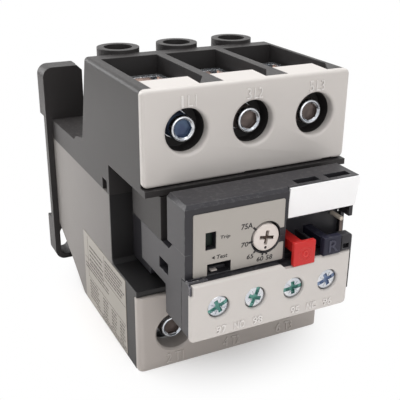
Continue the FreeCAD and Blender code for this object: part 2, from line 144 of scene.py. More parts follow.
# %% World
bpy.context.scene.view_settings.view_transform = "Standard"
FILL = 0.38
world = bpy.data.worlds.new("white_room")
bpy.context.scene.world = world
world.use_nodes = True
tree = world.node_tree
tree.nodes.clear()
ray = add_node(tree, "LightPath").outputs
mirrored = math_node(tree, "MAXIMUM", ray["Is Glossy Ray"], ray["Is Transmission Ray"])
looked_at = math_node(tree, "MAXIMUM", ray["Is Camera Ray"], mirrored)
sky = add_node(tree, "Background", {
    "Color": (1.0, 0.995, 0.99, 1.0), "Strength": scaled(tree, looked_at, FILL, 1.0)})
add_node(tree, "OutputWorld", {"Surface": sky.outputs[0]})


# %% Lamps
def soft_lamp(name, place, aim, width, height, power):
    """A rectangular soft box at a place in millimetres that shines at a point."""
    direction = (Vector(aim) - Vector(place)).normalized()
    bpy.ops.object.light_add(
        type="AREA",
        location=Vector(place) * MM,
        rotation=direction.to_track_quat("-Z", "Y").to_euler(),
    )
    lamp = bpy.context.object
    lamp.name = name
    lamp.data.shape = "RECTANGLE"
    lamp.data.size = width * MM
    lamp.data.size_y = height * MM
    lamp.data.energy = power
    return lamp


soft_lamp("overhead", (-40, 40, 620), (0, 0, 40), 620, 620, 3.9)
soft_lamp("left_rear", (-230, 330, 180), (-35, 40, 40), 200, 200, 0.62)
soft_lamp("front_fill", (-60, -700, 330), (0, 0, 50), 500, 400, 1.5)

# %% [markdown]
# The floor is one large pale sheet. Near the object it takes its shadow, and
# further away it turns into plain white where the camera looks at it, so that
# the horizon can't be seen.

# %% Floor
FLOOR_SIZE = 6.0
SHADOW_NEAR, SHADOW_FAR = 0.018, 0.064
bpy.ops.object.select_all(action="DESELECT")
bpy.ops.mesh.primitive_plane_add(size=FLOOR_SIZE, location=(0, 0, 0))
floor = bpy.context.object
floor.name = "floor"
paper = bpy.data.materials.new("studio_paper")
paper.use_nodes = True
tree = paper.node_tree
tree.nodes.clear()
place = add_node(tree, "TexCoord").outputs["Object"]
distance = add_node(tree, "VectorMath", {0: place}, operation="LENGTH").outputs["Value"]
away = add_node(tree, "MapRange", {
    "Value": distance, "From Min": SHADOW_NEAR, "From Max": SHADOW_FAR,
}, interpolation_type="SMOOTHSTEP").outputs["Result"]
ray = add_node(tree, "LightPath").outputs
blank = math_node(tree, "MULTIPLY", away, ray["Is Camera Ray"])
sheet = add_node(tree, "BsdfDiffuse", {"Color": (0.95, 0.93, 0.92, 1.0)}).outputs[0]
white = add_node(tree, "Emission", {"Strength": 1.0}).outputs[0]
mixed = add_node(tree, "MixShader", {"Fac": blank, 1: sheet, 2: white}).outputs[0]
add_node(tree, "OutputMaterial", {"Surface": mixed})
floor.data.materials.append(paper)

# %% [markdown]
# ## Finishes
# A moulded housing is never one flat colour. The tool leaves a fine grain,
# the melt flows in faint clouds, and handling polishes the edges. Three node
# groups hold these effects, and each finish uses them with its own values.
# The first finds the edges: a Bevel node rounds the normal near an edge, and
# where that differs from the true normal, an edge is close.


# %% Helpers for node groups
def new_group(name, inputs, outputs):
    """A node group with named sockets, the outputs of its start and the inputs of its end."""
    group = bpy.data.node_groups.new(name, "ShaderNodeTree")
    for label, default in inputs:
        socket = group.interface.new_socket(
            label, in_out="INPUT", socket_type="NodeSocketFloat")
        socket.default_value = default
    for label, kind in outputs:
        group.interface.new_socket(label, in_out="OUTPUT", socket_type=kind)
    start = group.nodes.new("NodeGroupInput")
    end = group.nodes.new("NodeGroupOutput")
    return group, start.outputs, end.inputs


def noise(tree, scale, **looks):
    """Noise on a piece's own coordinates."""
    place = add_node(tree, "TexCoord").outputs["Object"]
    return add_node(tree, "TexNoise", {"Vector": place, "Scale": scale, **looks}).outputs["Fac"]


# %% Node group: soft edges
soft_edges, given, result = new_group(
    "soft_edges",
    [("Radius", 0.0003)],
    [("Edge", "NodeSocketFloat"), ("Normal", "NodeSocketVector")])
rounded = add_node(soft_edges, "Bevel", {"Radius": given["Radius"]}, samples=6).outputs[0]
flat = add_node(soft_edges, "NewGeometry").outputs["Normal"]
facing = add_node(soft_edges, "VectorMath", {0: rounded, 1: flat}, operation="DOT_PRODUCT")
edge = scaled(soft_edges, facing.outputs["Value"], 0.0, 1.0, 0.999, 0.85)
soft_edges.links.new(edge, result["Edge"])
soft_edges.links.new(rounded, result["Normal"])

# %% Node group: moulded skin
moulded_skin, given, result = new_group(
    "moulded_skin",
    [("Grain Scale", 2600.0), ("Cloud Scale", 60.0)],
    [("Grain", "NodeSocketFloat"), ("Cloud", "NodeSocketFloat")])
grain = noise(moulded_skin, given["Grain Scale"], Detail=3.0, Roughness=0.6)
cloud = noise(moulded_skin, given["Cloud Scale"], Detail=4.0, Distortion=0.6)
moulded_skin.links.new(grain, result["Grain"])
moulded_skin.links.new(cloud, result["Cloud"])

# %% Node group: settled dust
settled_dust, given, result = new_group(
    "settled_dust",
    [("Amount", 0.3), ("Scale", 900.0)],
    [("Dust", "NodeSocketFloat")])
specks = noise(settled_dust, given["Scale"], Detail=6.0)
normal = add_node(settled_dust, "NewGeometry").outputs["Normal"]
along = add_node(settled_dust, "SeparateXYZ", {0: normal}).outputs
upward = math_node(settled_dust, "MAXIMUM", along["Z"], 0.0)
spotted = scaled(settled_dust, specks, 0.0, 1.0, 0.52, 0.68)
lying = math_node(settled_dust, "MULTIPLY", upward, spotted)
amount = math_node(settled_dust, "MULTIPLY", lying, given["Amount"])
settled_dust.links.new(amount, result["Dust"])

# %% [markdown]
# An edge doesn't wear evenly. It is rubbed bright where something knocked
# against it, and stays dark in between. The fourth group breaks the edge mask
# into such short runs with a layer of noise. On the dark module and on the lug
# of the carrier the same bright runs are also a painted highlight, the gloss
# that a rounded edge catches.

# %% Node group: rubbed edges and painted sheen
rubbed_and_sheen_edges, given, result = new_group(
    "rubbed_and_sheen_edges",
    [("Edge", 0.0), ("Scale", 420.0), ("Speckle", 0.5)],
    [("Rub", "NodeSocketFloat")])
runs = noise(rubbed_and_sheen_edges, given["Scale"], Detail=5.0, Roughness=0.7)
broken = scaled(rubbed_and_sheen_edges, runs, 0.0, 1.0, 0.46, 0.60)
whole = math_node(rubbed_and_sheen_edges, "SUBTRACT", 1.0, given["Speckle"])
uneven = math_node(rubbed_and_sheen_edges, "MULTIPLY_ADD", broken, given["Speckle"], whole)
rub = math_node(rubbed_and_sheen_edges, "MULTIPLY", uneven, given["Edge"])
rubbed_and_sheen_edges.links.new(rub, result["Rub"])
print("node groups", [g.name for g in (soft_edges, moulded_skin, settled_dust, rubbed_and_sheen_edges)])

# %% [markdown]
# A finish is written down with the colour that the eye sees, from 0 to 255,
# and Blender wants light, which isn't the same scale. The helper turns one
# into the other.


# %% Colours and the parts of a finish
def paint(red, green, blue):
    """A colour as the eye sees it, as the linear colour that a shader takes."""
    linear = []
    for value in (red, green, blue):
        v = value / 255
        linear.append(v / 12.92 if v <= 0.04045 else ((v + 0.055) / 1.055) ** 2.4)
    return (*linear, 1.0)


def use_group(tree, group, **values):
    """The outputs of a group that is placed in a material with its own values."""
    inputs = {label.replace("_", " "): value for label, value in values.items()}
    return add_node(tree, "Group", inputs, node_tree=group).outputs


def mix_colour(tree, factor, first, second):
    """A Mix node for colours whose inputs are sockets, colours or numbers."""
    return add_node(tree, "Mix", {0: factor, 6: first, 7: second}, data_type="RGBA").outputs[2]


finishes = {}


def new_finish(name):
    """A material that is kept in the list of finishes, with its node tree and its shader."""
    material = bpy.data.materials.new(name)
    material.use_nodes = True
    finishes[name] = material
    return material, material.node_tree, material.node_tree.nodes["Principled BSDF"]


def dress(tree, shader, body, grain, normal, glosses, strength, height):
    """Colour, gloss and relief: the grain changes the gloss and lifts the surface."""
    tree.links.new(body, shader.inputs["Base Color"])
    tree.links.new(scaled(tree, grain, *glosses), shader.inputs["Roughness"])
    bump = add_node(tree, "Bump", {
        "Strength": strength, "Distance": height * MM, "Height": grain, "Normal": normal})
    tree.links.new(bump.outputs[0], shader.inputs["Normal"])


# %% [markdown]
# The plastics share one recipe: the colour drifts a little between a darker
# and a lighter cloud, worn edges and dust are paler, and on some finishes the
# pale edges are also a painted highlight. The grain lifts the surface by a few
# hundredths of a millimetre, and the gloss changes with both.


# %% Recipe for moulded plastic
def moulded_plastic(name, colour, drift=0.06, rough=0.45, grain=0.35,
                    wear=0.10, dust=0.05, radius=0.3, grain_scale=2600.0,
                    specular=0.5, wear_and_sheen_colour=None, speckle=0.5):
    """A material with clouds, grain, rubbed edges that can carry a painted highlight, and dust."""
    material, tree, shader = new_finish(name)
    edges = use_group(tree, soft_edges, Radius=radius * MM)
    skin = use_group(tree, moulded_skin, Grain_Scale=grain_scale)
    lying = use_group(tree, settled_dust, Amount=dust)
    wear_and_sheen_runs = use_group(tree, rubbed_and_sheen_edges, Edge=edges["Edge"], Speckle=speckle)
    base = paint(*colour)
    darker = tuple(c * (1 - drift) for c in base[:3]) + (1.0,)
    lighter = tuple(min(1.0, c * (1 + drift)) for c in base[:3]) + (1.0,)
    rubbed = tuple(min(1.0, c * 1.5 + 0.10) for c in base[:3]) + (1.0,)
    body = mix_colour(tree, skin["Cloud"], darker, lighter)
    edge_wear_and_sheen = math_node(tree, "MULTIPLY", wear_and_sheen_runs["Rub"], wear)
    body = mix_colour(tree, edge_wear_and_sheen, body, wear_and_sheen_colour or rubbed)
    body = mix_colour(tree, lying["Dust"], body, (0.62, 0.60, 0.57, 1.0))
    shader.inputs["Specular IOR Level"].default_value = specular
    glosses = (rough - 0.08, rough + 0.08)
    dress(tree, shader, body, skin["Grain"], edges["Normal"], glosses, grain, 0.03)
    return material


# %% Recipe for metal
def plated_metal(name, colour, stain, rough=0.22, radius=0.15, scratch=900.0):
    """Plated or drawn metal: fine scratches, a faint stain and bright edges."""
    material, tree, shader = new_finish(name)
    shader.inputs["Metallic"].default_value = 1.0
    edges = use_group(tree, soft_edges, Radius=radius * MM)
    skin = use_group(tree, moulded_skin, Grain_Scale=scratch, Cloud_Scale=260.0)
    tinted = scaled(tree, skin["Cloud"], -0.6, 1.4)
    limited = math_node(tree, "MINIMUM", math_node(tree, "MAXIMUM", tinted, 0.0), 1.0)
    body = mix_colour(tree, limited, paint(*colour), paint(*stain))
    glosses = (rough - 0.08, rough + 0.14)
    dress(tree, shader, body, skin["Grain"], edges["Normal"], glosses, 0.25, 0.02)
    return material


# %% The finishes of this relay
moulded_plastic(
    "black_polyamide", (47, 45, 45), drift=0.14, rough=0.44, grain=0.5, wear=0.16,
    specular=0.22, wear_and_sheen_colour=paint(120, 118, 116))
# The dark module's pale, broken edges are partly wear and partly a painted highlight: the line of
# gloss along its chamfered front edge.
moulded_plastic(
    "dark_polyamide", (46, 45, 49), drift=0.08, rough=0.36, grain=0.3, wear=0.45,
    specular=0.30, wear_and_sheen_colour=paint(168, 172, 172), speckle=0.9, radius=0.22)
moulded_plastic(
    "grey_polyamide", (128, 124, 121), drift=0.05, rough=0.48, grain=0.4, wear=0.08,
    specular=0.4)
moulded_plastic(
    "light_grey_polyamide", (201, 196, 192), drift=0.02, rough=0.40, wear=0.10)
moulded_plastic(
    "load_grey_polyamide", (172, 165, 160), drift=0.02, rough=0.42, wear=0.10)
moulded_plastic(
    "label_film", (156, 151, 143), drift=0.03, rough=0.40, grain=0.15,
    wear=0.2, radius=0.1, specular=0.3)
moulded_plastic(
    "face_film", (168, 163, 157), drift=0.02, rough=0.40, grain=0.15,
    wear=0.15, radius=0.1, specular=0.35)
moulded_plastic(
    "dial_plastic", (214, 205, 199), drift=0.02, rough=0.35, wear=0.2, radius=0.2)
# The flag is a very dark green: its own green, painted darker as the shade in the window that it
# sits behind.
moulded_plastic(
    "flag_green", (14, 26, 21), drift=0.1, rough=0.4, wear=0.1, radius=0.15,
    specular=0.2)
moulded_plastic(
    "white_plastic", (246, 246, 247), drift=0.01, rough=0.30, grain=0.12,
    wear=0.0, radius=0.2)
moulded_plastic(
    "red_plastic", (192, 36, 34), drift=0.05, rough=0.38, grain=0.2,
    wear=0.35, radius=0.25, wear_and_sheen_colour=paint(226, 96, 86), specular=0.35)
moulded_plastic(
    "navy_plastic", (40, 40, 54), drift=0.08, rough=0.36, grain=0.25,
    wear=0.3, radius=0.25, specular=0.2)
plated_metal("zinc_steel", (214, 216, 219), (168, 176, 186))
plated_metal("spring_steel", (190, 190, 188), (150, 148, 146), rough=0.30)
plated_metal("brass", (150, 108, 62), (92, 66, 40), rough=0.34)
plated_metal("copper", (214, 178, 158), (176, 138, 118), rough=0.30)
print("finishes", len(finishes))

# %% [markdown]
# Some surfaces need a finish of their own beside the slots: the ink on the
# plate and on the label, the tops of raised letters, which are lighter as a
# painted highlight, and the bottoms of the screw recesses. Zinc plating is
# passivated in a bath that leaves a thin film, and in a recess, where the film
# is thickest and little light comes in, it looks teal, slate, night blue or brown.

# %% Finishes beside the slots
moulded_plastic(
    "plate_ink", (46, 44, 46), drift=0.15, rough=0.5, grain=0.1, wear=0.0,
    radius=0.02, specular=0.2)
moulded_plastic(
    "label_ink", (88, 83, 79), drift=0.25, rough=0.5, grain=0.1, wear=0.0,
    radius=0.02, specular=0.2)
# The letters' finishes are lighter than their covers and buttons: a painted highlight on the raised
# tops, with some edge wear.
moulded_plastic(
    "highlit_grey", (216, 212, 209), drift=0.01, rough=0.30, grain=0.1, wear=0.3,
    radius=0.16, specular=0.6)
moulded_plastic(
    "highlit_load_grey", (188, 182, 177), drift=0.01, rough=0.30, grain=0.1, wear=0.3,
    radius=0.16, specular=0.6)
moulded_plastic(
    "highlit_red", (214, 62, 58), drift=0.03, rough=0.30, grain=0.1, wear=0.5,
    radius=0.08, wear_and_sheen_colour=paint(240, 130, 120), specular=0.4)
moulded_plastic(
    "highlit_navy", (58, 58, 74), drift=0.05, rough=0.30, grain=0.1, wear=0.6,
    radius=0.08, wear_and_sheen_colour=paint(120, 122, 140), specular=0.35)
moulded_plastic(
    "ivory_plastic", (214, 204, 190), drift=0.05, rough=0.35, grain=0.2, wear=0.2,
    radius=0.1)
moulded_plastic(
    "dark_tip", (40, 39, 42), drift=0.08, rough=0.40, grain=0.3, wear=0.3,
    radius=0.15, specular=0.25)
# The lug's pale, bluish scuffs are partly wear and partly a painted reflection: the gloss streaks
# on the dark ledge above the small terminals.
moulded_plastic(
    "scuffed_and_sheen_polyamide", (42, 41, 46), drift=0.3, rough=0.20, grain=0.9, wear=0.9,
    dust=0.35, radius=0.3, specular=0.5, grain_scale=900.0,
    wear_and_sheen_colour=paint(176, 174, 188), speckle=0.95)


def passivated(name, colour, deep, metallic=0.45, rough=0.32):
    """The film in a recess: coloured, half metallic, and uneven where the bath dried."""
    material = plated_metal(name, colour, deep, rough=rough, scratch=1400.0)
    material.node_tree.nodes["Principled BSDF"].inputs["Metallic"].default_value = metallic
    return material


passivated("film_teal", (112, 168, 156), (66, 120, 112))
passivated("film_brown", (112, 100, 95), (70, 63, 61), 0.6)
passivated("film_slate", (128, 146, 176), (86, 98, 130), 0.6)
passivated("film_night", (82, 102, 124), (56, 62, 92), 0.7)
moulded_plastic(
    "dial_shade", (74, 62, 56), drift=0.2, rough=0.5, grain=0.3, wear=0.1,
    radius=0.1, specular=0.2)

# %% [markdown]
# The relay's body is moulded in two colours: the part behind the covers is
# black, with its ledge and the riser behind it, and the housing is grey. Here
# they are one solid, so the finish changes from one to the other at the depth
# of their seam, which shows as a fine dark line. The black part is painted
# darker still, as painted shade under the adapter, and the grey side is
# painted darker towards the front, as painted shade.

# %% The two-coloured housing
SEAM_DEPTH = FRONT + 18.0 * MM
housing = finishes["grey_polyamide"]
tree = housing.node_tree
shader = tree.nodes["Principled BSDF"]
grey_body = shader.inputs["Base Color"].links[0].from_socket
place = add_node(tree, "TexCoord").outputs["Object"]
along = add_node(tree, "SeparateXYZ", {0: place}).outputs
before_seam = scaled(tree, along["Y"], 1.0, 0.0, SEAM_DEPTH - 0.02 * MM, SEAM_DEPTH)
before_riser = scaled(
    tree, along["Y"], 1.0, 0.0, FRONT + 31.0 * MM, FRONT + 31.02 * MM)
above_ledge = scaled(tree, along["Z"], 0.0, 1.0, 28.0 * MM, 28.02 * MM)
is_front = math_node(
    tree, "MAXIMUM", before_seam, math_node(tree, "MULTIPLY", before_riser, above_ledge))
# The grey side turns darker towards the front: painted shade, for the light that comes from the
# left and the rear.
painted_side_shade = scaled(
    tree, along["Y"], 0.45, 0.0, FRONT + 31 * MM, FRONT + 80 * MM)
side_shaded_body = mix_colour(tree, painted_side_shade, grey_body, paint(70, 66, 66))
# The black front is painted near black: black plastic, darkened further as painted shade under the
# adapter.
black_front_and_shade = mix_colour(tree, is_front, side_shaded_body, paint(22, 21, 22))
near_seam = math_node(
    tree, "COMPARE", along["Y"], SEAM_DEPTH + 0.10 * MM, 0.10 * MM)
tree.links.new(
    mix_colour(tree, near_seam, black_front_and_shade, paint(36, 34, 34)), shader.inputs["Base Color"])
print("seam at", round(SEAM_DEPTH / MM, 2), "mm")

# %% Give each CAD node its finish
node_finish = {part["node"]: part["material_slot"] for part in frame["record"]["subparts"]}
# The module's rear block is as black as the adapter above it.
node_finish["module_rear"] = "black_polyamide"
for name, node in nodes.items():
    finish = finishes[node_finish[name]]
    if not node.material_slots:
        node.data.materials.append(finish)
    for place_for in node.material_slots:
        place_for.material = finish
print("finished nodes", len(node_finish))

# %% [markdown]
# ## Tools for modelling
# A piece is made as by hand: a primitive, edit mode, modifiers, and at the
# end its place goes into its mesh. These helpers hold the steps that every
# piece needs.


# %% Start, place and finish a piece
def start_fresh():
    """Nothing selected, so that the next operator acts on its own piece only."""
    if bpy.context.mode != "OBJECT":
        bpy.ops.object.mode_set(mode="OBJECT")
    bpy.ops.object.select_all(action="DESELECT")


def hold(piece):
    """Only this piece is selected and active."""
    start_fresh()
    piece.select_set(True)
    bpy.context.view_layer.objects.active = piece


def apply_place(piece):
    """The piece's place and turn go into its mesh, and its object to the origin."""
    hold(piece)
    bpy.ops.object.transform_apply(location=True, rotation=True, scale=True)


def join(pieces, name):
    """Several pieces as one object."""
    start_fresh()
    for piece in pieces:
        piece.select_set(True)
    bpy.context.view_layer.objects.active = pieces[0]
    if len(pieces) > 1:
        bpy.ops.object.join()
    whole = bpy.context.object
    whole.name = name
    whole.data.name = name
    return whole


def copy_of(piece, name, move=(0, 0, 0), turn=0.0):
    """A copy with its own mesh, turned about its depth axis and then moved, in millimetres."""
    twin = piece.copy()
    twin.data = piece.data.copy()
    twin.name = name
    twin.data.name = name
    bpy.context.collection.objects.link(twin)
    twin.matrix_world = Matrix.Translation(Vector(move) * MM) @ Matrix.Rotation(turn, 4, "Y")
    apply_place(twin)
    return twin


def finish_piece(piece, body, finish, angle=35, extra=()):
    """A finished piece: its material, its smooth faces and the body it moves with."""
    apply_place(piece)
    keep = [polygon.material_index for polygon in piece.data.polygons]
    piece.data.materials.clear()
    for label in (finish, *extra):
        piece.data.materials.append(finishes[label])
    if extra:
        for polygon, index in zip(piece.data.polygons, keep):
            polygon.material_index = index
    bpy.ops.object.shade_smooth_by_angle(angle=math.radians(angle))
    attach(piece, body)
    return piece


# %% [markdown]
# Screws, pins and dots are turned on a lathe, so they are modelled that way:
# half of the section is drawn as a line, and Spin carries it round the depth
# axis. The line is extruded point by point, as with the pen on a drawing.


# %% Draw a line and turn it
def drawn_line(name, points):
    """A line of edges through points (x, y) in millimetres, extruded point by point."""
    start_fresh()
    bpy.ops.mesh.primitive_plane_add(size=MM, location=(0, 0, 0))
    line = bpy.context.object
    line.name = name
    bpy.ops.object.mode_set(mode="EDIT")
    bpy.ops.mesh.select_all(action="SELECT")
    bpy.ops.mesh.merge(type="CENTER")
    spots = [Vector((x, y, 0)) * MM for x, y in points]
    bpy.ops.transform.translate(value=spots[0])
    for before, after in zip(spots, spots[1:]):
        bpy.ops.mesh.extrude_vertices_move(
            TRANSFORM_OT_translate={"value": after - before})
    return line


def close_skin():
    """All faces of the mesh in edit mode turned outwards, and back to object mode."""
    bpy.ops.mesh.select_all(action="SELECT")
    bpy.ops.mesh.normals_make_consistent(inside=False)
    bpy.ops.object.mode_set(mode="OBJECT")


def merge_skin():
    """Points that lie together merged, before the skin is closed."""
    bpy.ops.mesh.select_all(action="SELECT")
    bpy.ops.mesh.remove_doubles(threshold=0.002 * MM)
    close_skin()


def raise_face(length):
    """The selected face raised along Z into a closed solid, by a length in metres."""
    bpy.ops.mesh.extrude_region_move(TRANSFORM_OT_translate={"value": (0, 0, length)})
    close_skin()


def turned(name, points, steps=48):
    """A solid of revolution about the depth axis, from points (radius, depth)."""
    solid = drawn_line(name, points)
    bpy.ops.mesh.select_all(action="SELECT")
    bpy.ops.mesh.spin(steps=steps, angle=math.tau, center=(0, 0, 0), axis=(0, 1, 0))
    merge_skin()
    return solid


def boolean(piece, other, operation):
    """A Boolean modifier that takes another piece into this one or out of it, and uses it up."""
    hold(piece)
    modifier = piece.modifiers.new("boolean", "BOOLEAN")
    modifier.operation = operation
    modifier.solver = "EXACT"
    modifier.object = other
    bpy.ops.object.modifier_apply(modifier=modifier.name)
    bpy.data.objects.remove(other)


def cut_with(piece, cutters):
    """Takes the cutters out of the piece, one after the other."""
    for cutter in cutters:
        boolean(piece, cutter, "DIFFERENCE")
    return piece


# %% [markdown]
# A thread is one helix, not a stack of rings. The Screw modifier sweeps a
# toothed line round the axis and moves it by one pitch in the same turn, so
# that every tooth ends where the next begins. The two ragged ends are bisected
# off and closed.


# %% Cut a thread
def thread(name, crest, root, pitch, start, end, steps=28):
    """A threaded rod between two depths, in millimetres."""
    teeth = math.ceil((end - start) / pitch) + 3
    points = []
    for tooth in range(teeth):
        depth = start - 2 * pitch + tooth * pitch
        points += [(root, depth), (root, depth + 0.12 * pitch)]
        points += [(crest, depth + 0.48 * pitch), (crest, depth + 0.64 * pitch)]
    rod = drawn_line(name, points)
    bpy.ops.object.mode_set(mode="OBJECT")
    modifier = rod.modifiers.new("sweep", "SCREW")
    modifier.axis = "Y"
    modifier.angle = math.tau
    modifier.screw_offset = pitch * MM
    modifier.steps = steps
    modifier.render_steps = steps
    modifier.use_merge_vertices = True
    modifier.merge_threshold = 0.002 * MM
    hold(rod)
    bpy.ops.object.modifier_apply(modifier=modifier.name)
    bpy.ops.object.mode_set(mode="EDIT")
    for depth, outward in ((start, -1), (end, 1)):
        bpy.ops.mesh.select_all(action="SELECT")
        bpy.ops.mesh.bisect(
            plane_co=(0, depth * MM, 0), plane_no=(0, outward, 0),
            use_fill=True, clear_outer=True)
    merge_skin()
    return rod


# %% [markdown]
# Moulded pieces are built from blocks. A block is a cube that is stretched
# between two corners, and pieces that are moulded in one are united by a
# Boolean modifier, so that the result is one closed skin. Depth is measured
# from the face of the line cover.


# %% Blocks, unions and softened edges
def block(name, x0, x1, d0, d1, z0, z1):
    """A block between two corners, in millimetres, with its depth behind the front plane."""
    start_fresh()
    bpy.ops.mesh.primitive_cube_add(
        size=1.0,
        location=((x0 + x1) / 2 * MM, FRONT + (d0 + d1) / 2 * MM, (z0 + z1) / 2 * MM),
        scale=((x1 - x0) * MM, (d1 - d0) * MM, (z1 - z0) * MM))
    piece = bpy.context.object
    piece.name = name
    apply_place(piece)
    return piece


def outlined(name, outline, length):
    """A solid with an outline in the plane of its first two axes, raised along the third."""
    solid = drawn_line(name, outline)
    bpy.ops.mesh.select_all(action="SELECT")
    bpy.ops.mesh.edge_face_add()
    raise_face(length * MM)
    return solid


def side_solid(name, outline, x0, x1):
    """A solid with an outline (depth, height) seen from the side, between two widths."""
    solid = outlined(name, outline, x1 - x0)
    solid.matrix_world = Matrix((
        (0, 0, 1, x0 * MM), (1, 0, 0, FRONT), (0, 1, 0, 0), (0, 0, 0, 1)))
    apply_place(solid)
    return solid


def front_solid(name, outline, d0, d1):
    """A solid with an outline (x, height) seen from the front, between two depths."""
    solid = outlined(name, outline, d0 - d1)
    solid.matrix_world = Matrix((
        (1, 0, 0, 0), (0, 0, -1, FRONT + d0 * MM), (0, 1, 0, 0), (0, 0, 0, 1)))
    apply_place(solid)
    return solid


def plan_solid(name, outline, z0, z1):
    """A solid with an outline (x, depth) seen from above, between two heights."""
    solid = outlined(name, outline, z1 - z0)
    solid.matrix_world = Matrix.Translation((0, FRONT, z0 * MM))
    apply_place(solid)
    return solid


def unite(pieces, name):
    """Pieces as one skin, united one after the other."""
    whole = pieces[0]
    for other in pieces[1:]:
        boolean(whole, other, "UNION")
    whole.name = name
    whole.data.name = name
    return whole


def bevel_edges(piece, wanted, width, segments=4):
    """Rounds the edges whose two ends, in millimetres with depth from the front, are wanted."""
    hold(piece)
    bpy.ops.object.mode_set(mode="EDIT")
    bpy.ops.mesh.select_mode(type="EDGE")
    shape = bmesh.from_edit_mesh(piece.data)
    count = 0
    for edge in shape.edges:
        ends = []
        for corner in edge.verts:
            spot = corner.co / MM
            ends.append((spot.x, spot.y - FRONT / MM, spot.z))
        edge.select_set(False)
        if wanted(*ends):
            edge.select_set(True)
            count += 1
    shape.select_flush_mode()
    bmesh.update_edit_mesh(piece.data)
    if count:
        bpy.ops.mesh.bevel(offset=width * MM, segments=segments, affect="EDGES")
    bpy.ops.mesh.select_mode(type="VERT")
    bpy.ops.object.mode_set(mode="OBJECT")
    return count


def put(piece, x, depth, z):
    """Moves a piece from the origin, in millimetres with its depth behind the front plane."""
    piece.matrix_world = Matrix.Translation((x * MM, FRONT + depth * MM, z * MM))
    apply_place(piece)
    return piece


def round_bar(name, x, z, radius, d0, d1, steps=48):
    """A turned bar between two depths, for cutting holes."""
    bar = turned(name, [(0.0, d0), (radius, d0), (radius, d1), (0.0, d1)], steps)
    return put(bar, x, 0.0, z)


def near(a, b, room=0.02):
    """Two values in millimetres that are the same."""
    return abs(a - b) < room


def at_depth(depth):
    """A test for edges that lie in the plane at one depth."""
    return lambda a, b: near(a[1], depth) and near(b[1], depth)


def at_height(height):
    """A test for edges that lie in the plane at one height."""
    return lambda a, b: near(a[2], height) and near(b[2], height)


def along_depth(a, b):
    """Whether an edge runs from front to back."""
    return near(a[0], b[0]) and near(a[2], b[2])


def select_rear(piece):
    """Edit mode, with only those faces of the active piece selected that look to the rear."""
    bpy.ops.object.mode_set(mode="EDIT")
    shape = bmesh.from_edit_mesh(piece.data)
    for face in shape.faces:
        face.select_set(face.normal.y > 0.9)
    bmesh.update_edit_mesh(piece.data)


def shade_recess(piece, radius, start, end):
    """Gives the faces in a recess, within a radius and between two depths, the second finish."""
    for polygon in piece.data.polygons:
        from_axis = math.hypot(polygon.center.x, polygon.center.z)
        inside = from_axis < radius * MM and start * MM < polygon.center.y < end * MM
        polygon.material_index = int(inside)


# %% [markdown]
# ## Lower half of the front module
# It is moulded in one: two cheeks with feet, the wall behind the setting
# plate, the floor and the back of the recess for the buttons, and the small
# block that guides the contact lever. The right cheek stops short of the
# front, so that the recess is open at that side.

# %% Cheeks, walls and floor
MODULE_X = 29.9
CHEEK_REAR = [
    (-14.8, 28.2), (-3.5, 28.2), (-3.5, 38.0), (15.4, 38.0), (15.4, 51.0), (-6.1, 51.0),
    (-8.6, 53.4),
]
LEFT_CHEEK = CHEEK_REAR + [(-17.0, 53.4), (-17.0, 45.6), (-14.8, 45.6)]
RIGHT_CHEEK = CHEEK_REAR + [(-9.8, 53.4), (-9.8, 45.6), (-14.8, 45.6)]
module_lower = unite([
    side_solid("left_cheek", LEFT_CHEEK, -MODULE_X, -25.5),
    side_solid("right_cheek", RIGHT_CHEEK, 28.6, MODULE_X),
    block("wall", -25.5, 3.1, -14.8, -8.0, 40.8, 53.4),
    block("sill", -25.5, 3.1, -17.0, -14.8, 45.3, 53.4),
    block("deck", -25.5, 28.6, -8.0, 15.4, 40.8, 51.0),
    block("back", 2.1, 28.6, -8.0, -5.1, 51.0, 53.4),
    block("floor_of_recess", 3.1, 28.6, -14.8, -8.0, 40.8, 45.6),
    block("neck", -27.0, 27.0, 15.4, 30.4, 31.4, 51.0),
], "module_lower")
guide = block("guide", 21.4, 25.3, -20.6, -17.6, 45.6, 51.0)
bevel_edges(guide, lambda a, b: near(a[0], 25.3) and near(b[0], 25.3)
            and near(a[2], 51.0) and near(b[2], 51.0), 0.9)
bevel_edges(guide, at_depth(-20.6), 0.35, 3)
lower_extras = [
    guide,
    block("guide_foot", 21.4, 25.3, -17.6, -12.0, 45.5, 47.0),
    block("fence", 12.6, 13.5, -18.0, -8.0, 45.5, 49.6),
]
print("module lower", len(module_lower.data.polygons), "faces")

# %% Slots and pockets of the lower half
STOP_STEM = (4.8, 8.3, 48.0, 51.0)
RESET_STEM = (15.9, 18.9, 46.9, 49.9)
DIAL_X, DIAL_Z, DIAL_R = -3.7, 54.1, 4.5
ways = []
for x0, x1, z0, z1 in (STOP_STEM, RESET_STEM):
    ways.append(block("way", x0 - 0.3, x1 + 0.3, -9.0, 0.0, z0 - 0.3, z1 + 0.3))
cut_with(module_lower, [
    block("left_slot", -32.3, -27.5, -5.5, 1.1, 41.6, 45.4),
    block("right_slot", 27.5, 32.3, -5.5, 1.1, 41.6, 45.4),
    block("test_slot", -23.0, -15.3, -18.0, -11.6, 45.8, 49.4),
    round_bar("dial_pocket", DIAL_X, DIAL_Z, DIAL_R + 0.3, -18.0, -13.6),
    round_bar("dial_bearing", DIAL_X, DIAL_Z, 2.06, -14.0, -9.6),
    *ways,
])
cut_with(guide, [block("guide_eye", 21.9, 24.2, -21.0, -19.0, 46.5, 48.1)])
module_lower = join([module_lower, *lower_extras], "module_lower")
finish_piece(module_lower, "relay", "dark_polyamide")
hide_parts("module_base")
print("module lower", len(module_lower.data.polygons), "faces")

# %% [markdown]
# ## Cover of the line terminals
# A light plate with soft corners and edges, a tongue into the top of each bay
# and two shallow notches in its lower edge. Each screw hole has a rounded
# rim, and behind it stands a black wall with the same hole, which keeps the
# key away from the live cage.

